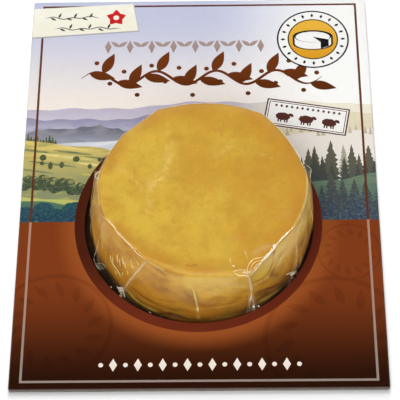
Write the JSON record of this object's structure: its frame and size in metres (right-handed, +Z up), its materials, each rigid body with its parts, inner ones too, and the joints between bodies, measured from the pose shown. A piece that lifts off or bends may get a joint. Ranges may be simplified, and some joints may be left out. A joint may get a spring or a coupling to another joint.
{
  "type": "sealed smoked cheese wheel",
  "caption": "Small round smoked sheep's milk cheese sealed in clear film, standing in the round window of a flat printed carton sleeve.",
  "frame": {"origin": "middle of the sleeve's back face, on the surface that the pack lies on", "axes": "+Z up out of the sleeve through the top of the cheese, +Y towards the top edge of the print, +X to the right of the print as it is seen"},
  "size_m": [0.17, 0.22, 0.0336],
  "materials": {
    "printed_board": "satin print on smooth carton board",
    "smoked_rind": "smooth golden smoked rind, seen through tight film",
    "clear_film": "clear glossy vacuum film"
  },
  "bodies": {
    "root": {"sleeve": "printed_board", "sealed_cheese": "smoked_rind"}
  },
  "joints": []
}
